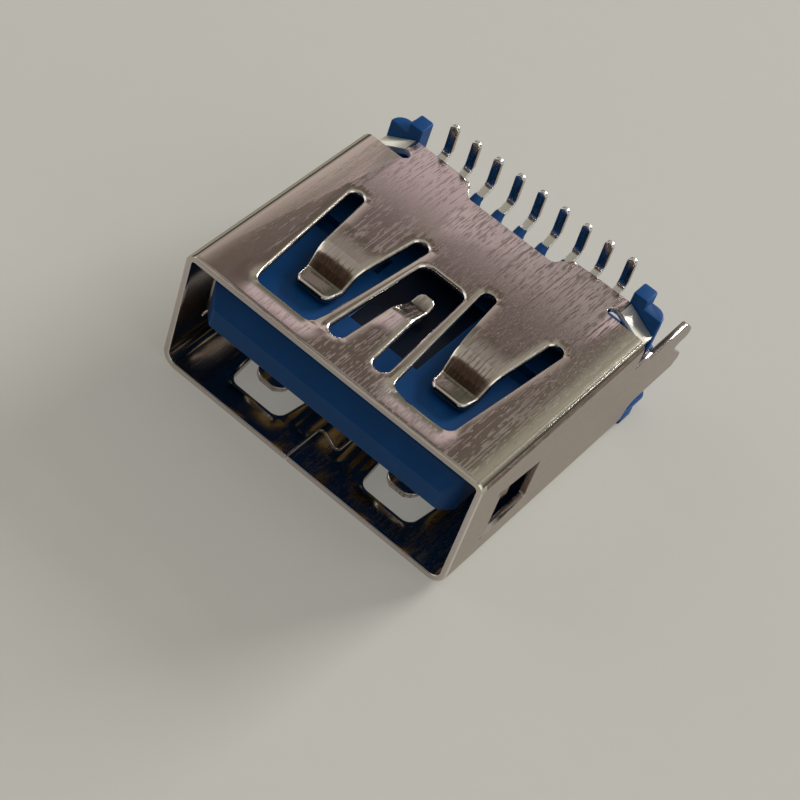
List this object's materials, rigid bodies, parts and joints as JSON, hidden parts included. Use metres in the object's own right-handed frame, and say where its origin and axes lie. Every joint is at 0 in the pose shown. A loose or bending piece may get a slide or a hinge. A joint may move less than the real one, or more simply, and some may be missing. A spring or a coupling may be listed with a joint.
{
  "type": "usb-a socket",
  "caption": "Upright board-mount socket: a folded metal shell with plug springs and forked legs round a blue tongue with sprung and flat contacts and a row of bent tails.",
  "frame": {"origin": "middle of the box that holds the socket, on the plane of the shell's seam side", "axes": "+Y from the mouth to the board legs, +Z from the shell's seam side to its sprung top plate, +X to the right when looking into the mouth"},
  "size_m": [0.013, 0.0138, 0.0065],
  "materials": {
    "shell_plating": "bright nickel plate with a fine rolled grain",
    "blue_moulding": "satin moulded plastic",
    "contact_metal": "gold over nickel where it mates, bright tin on the tails"
  },
  "bodies": {
    "root": {"shell": "shell_plating", "housing": "blue_moulding", "flat_contact_1": "contact_metal", "flat_contact_2": "contact_metal", "flat_contact_3": "contact_metal", "flat_contact_4": "contact_metal", "flat_contact_5": "contact_metal", "spring_contact_1": "contact_metal", "spring_contact_2": "contact_metal", "spring_contact_3": "contact_metal", "spring_contact_4": "contact_metal"}
  },
  "joints": []
}
